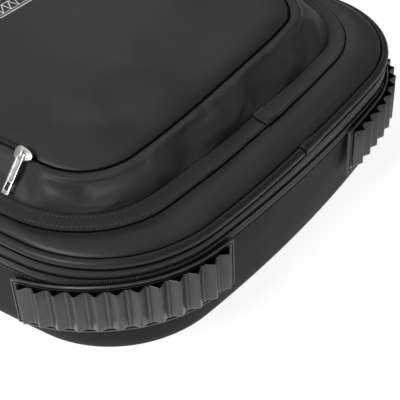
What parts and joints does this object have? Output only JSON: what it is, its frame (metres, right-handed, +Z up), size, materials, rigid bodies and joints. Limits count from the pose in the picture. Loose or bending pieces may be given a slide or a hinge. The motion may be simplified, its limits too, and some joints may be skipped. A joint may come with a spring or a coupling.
{
  "type": "miniature carry case",
  "caption": "Soft-sided case with a zipped, hinged padded lid, zipped outer pocket, ridged rubber corner bumpers, carry handle and a foam tray of cells.",
  "frame": {"origin": "middle of the flat underside, on the ground", "axes": "+Z up, X across the width, front at -Y, +Y towards the wall with the handle; the lid hinges on the +X side"},
  "size_m": [0.3721, 0.4749, 0.1178],
  "materials": {
    "leather": "soft black synthetic leather, fine grain",
    "lining": "black woven lining",
    "foam": "dark grey closed-cell foam",
    "webbing": "black woven tape",
    "rubber": "black moulded rubber, satin",
    "nickel": "bright nickel plate",
    "print": "white screen print"
  },
  "bodies": {
    "base": {"base_shell": "leather", "floor_board": "lining", "floor_pad": "foam", "tray_rim": "foam", "long_divider_1": "foam", "long_divider_2": "foam", "short_divider_1_1": "foam", "short_divider_1_2": "foam", "short_divider_1_3": "foam", "short_divider_2_1": "foam", "short_divider_2_2": "foam", "short_divider_2_3": "foam", "short_divider_3_1": "foam", "short_divider_3_2": "foam", "short_divider_3_3": "foam", "zip_lower_tape": "webbing", "zip_lower_coil": "webbing", "hinge_strip_base": "leather", "bumper_front_left": "rubber", "bumper_front_right": "rubber", "bumper_rear_left": "rubber", "bumper_rear_right": "rubber", "handle_anchor_left": "leather", "handle_anchor_right": "leather"},
    "lid": {"lid_panel": "leather", "lid_piping": "leather", "lid_pad": "foam", "zip_upper_tape": "webbing", "zip_upper_coil": "webbing", "hinge_strip_lid": "leather", "pocket_hem": "webbing", "pocket_gusset": "leather", "pocket_front_panel": "leather", "pocket_zip_tape": "webbing", "pocket_zip_coil": "webbing"},
    "flap": {"pocket_flap": "leather", "emblem_print": "print"},
    "pocket_slider": {"pocket_slider": "nickel"},
    "pocket_pull": {"pocket_pull": "nickel"},
    "main_front_slider": {"main_front_slider": "nickel"},
    "main_front_pull": {"main_front_pull": "nickel"},
    "main_rear_slider": {"main_rear_slider": "nickel"},
    "main_rear_pull": {"main_rear_pull": "nickel"},
    "handle": {"handle_strap": "webbing", "handle_grip": "leather", "handle_ring_left": "nickel", "handle_ring_right": "nickel"}
  },
  "joints": [
    {"name": "lid_hinge", "type": "hinge", "parent": "base", "child": "lid", "pos_m": [0.1842, 0, 0.0709], "axis": [0, 1, 0], "range_deg": [0, 110]},
    {"name": "flap_fold", "type": "hinge", "parent": "lid", "child": "flap", "pos_m": [0, -0.117, 0.1148], "axis": [1, 0, 0], "range_deg": [0, 150]},
    {"name": "pocket_zip", "type": "slide", "parent": "lid", "child": "pocket_slider", "axis": [0, 1, 0], "range_m": [0, 0.18]},
    {"name": "pocket_pull_swing", "type": "hinge", "parent": "pocket_slider", "child": "pocket_pull", "pos_m": [-0.13555, -0.1125, 0.11465], "axis": [0, 1, 0], "range_deg": [0, 140]},
    {"name": "main_front_zip", "type": "slide", "parent": "base", "child": "main_front_slider", "axis": [0, -1, 0], "range_m": [0, 0.07]},
    {"name": "main_front_pull_swing", "type": "hinge", "parent": "main_front_slider", "child": "main_front_pull", "pos_m": [-0.1858, -0.009, 0.0709], "axis": [0, 1, 0], "range_deg": [0, 165]},
    {"name": "main_rear_zip", "type": "slide", "parent": "base", "child": "main_rear_slider", "axis": [0, 1, 0], "range_m": [0, 0.07]},
    {"name": "main_rear_pull_swing", "type": "hinge", "parent": "main_rear_slider", "child": "main_rear_pull", "pos_m": [-0.1858, 0.009, 0.0709], "axis": [0, 1, 0], "range_deg": [0, 165]},
    {"name": "handle_swing", "type": "hinge", "parent": "base", "child": "handle", "pos_m": [0, 0.2326, 0.054], "axis": [1, 0, 0], "range_deg": [0, 150]}
  ]
}
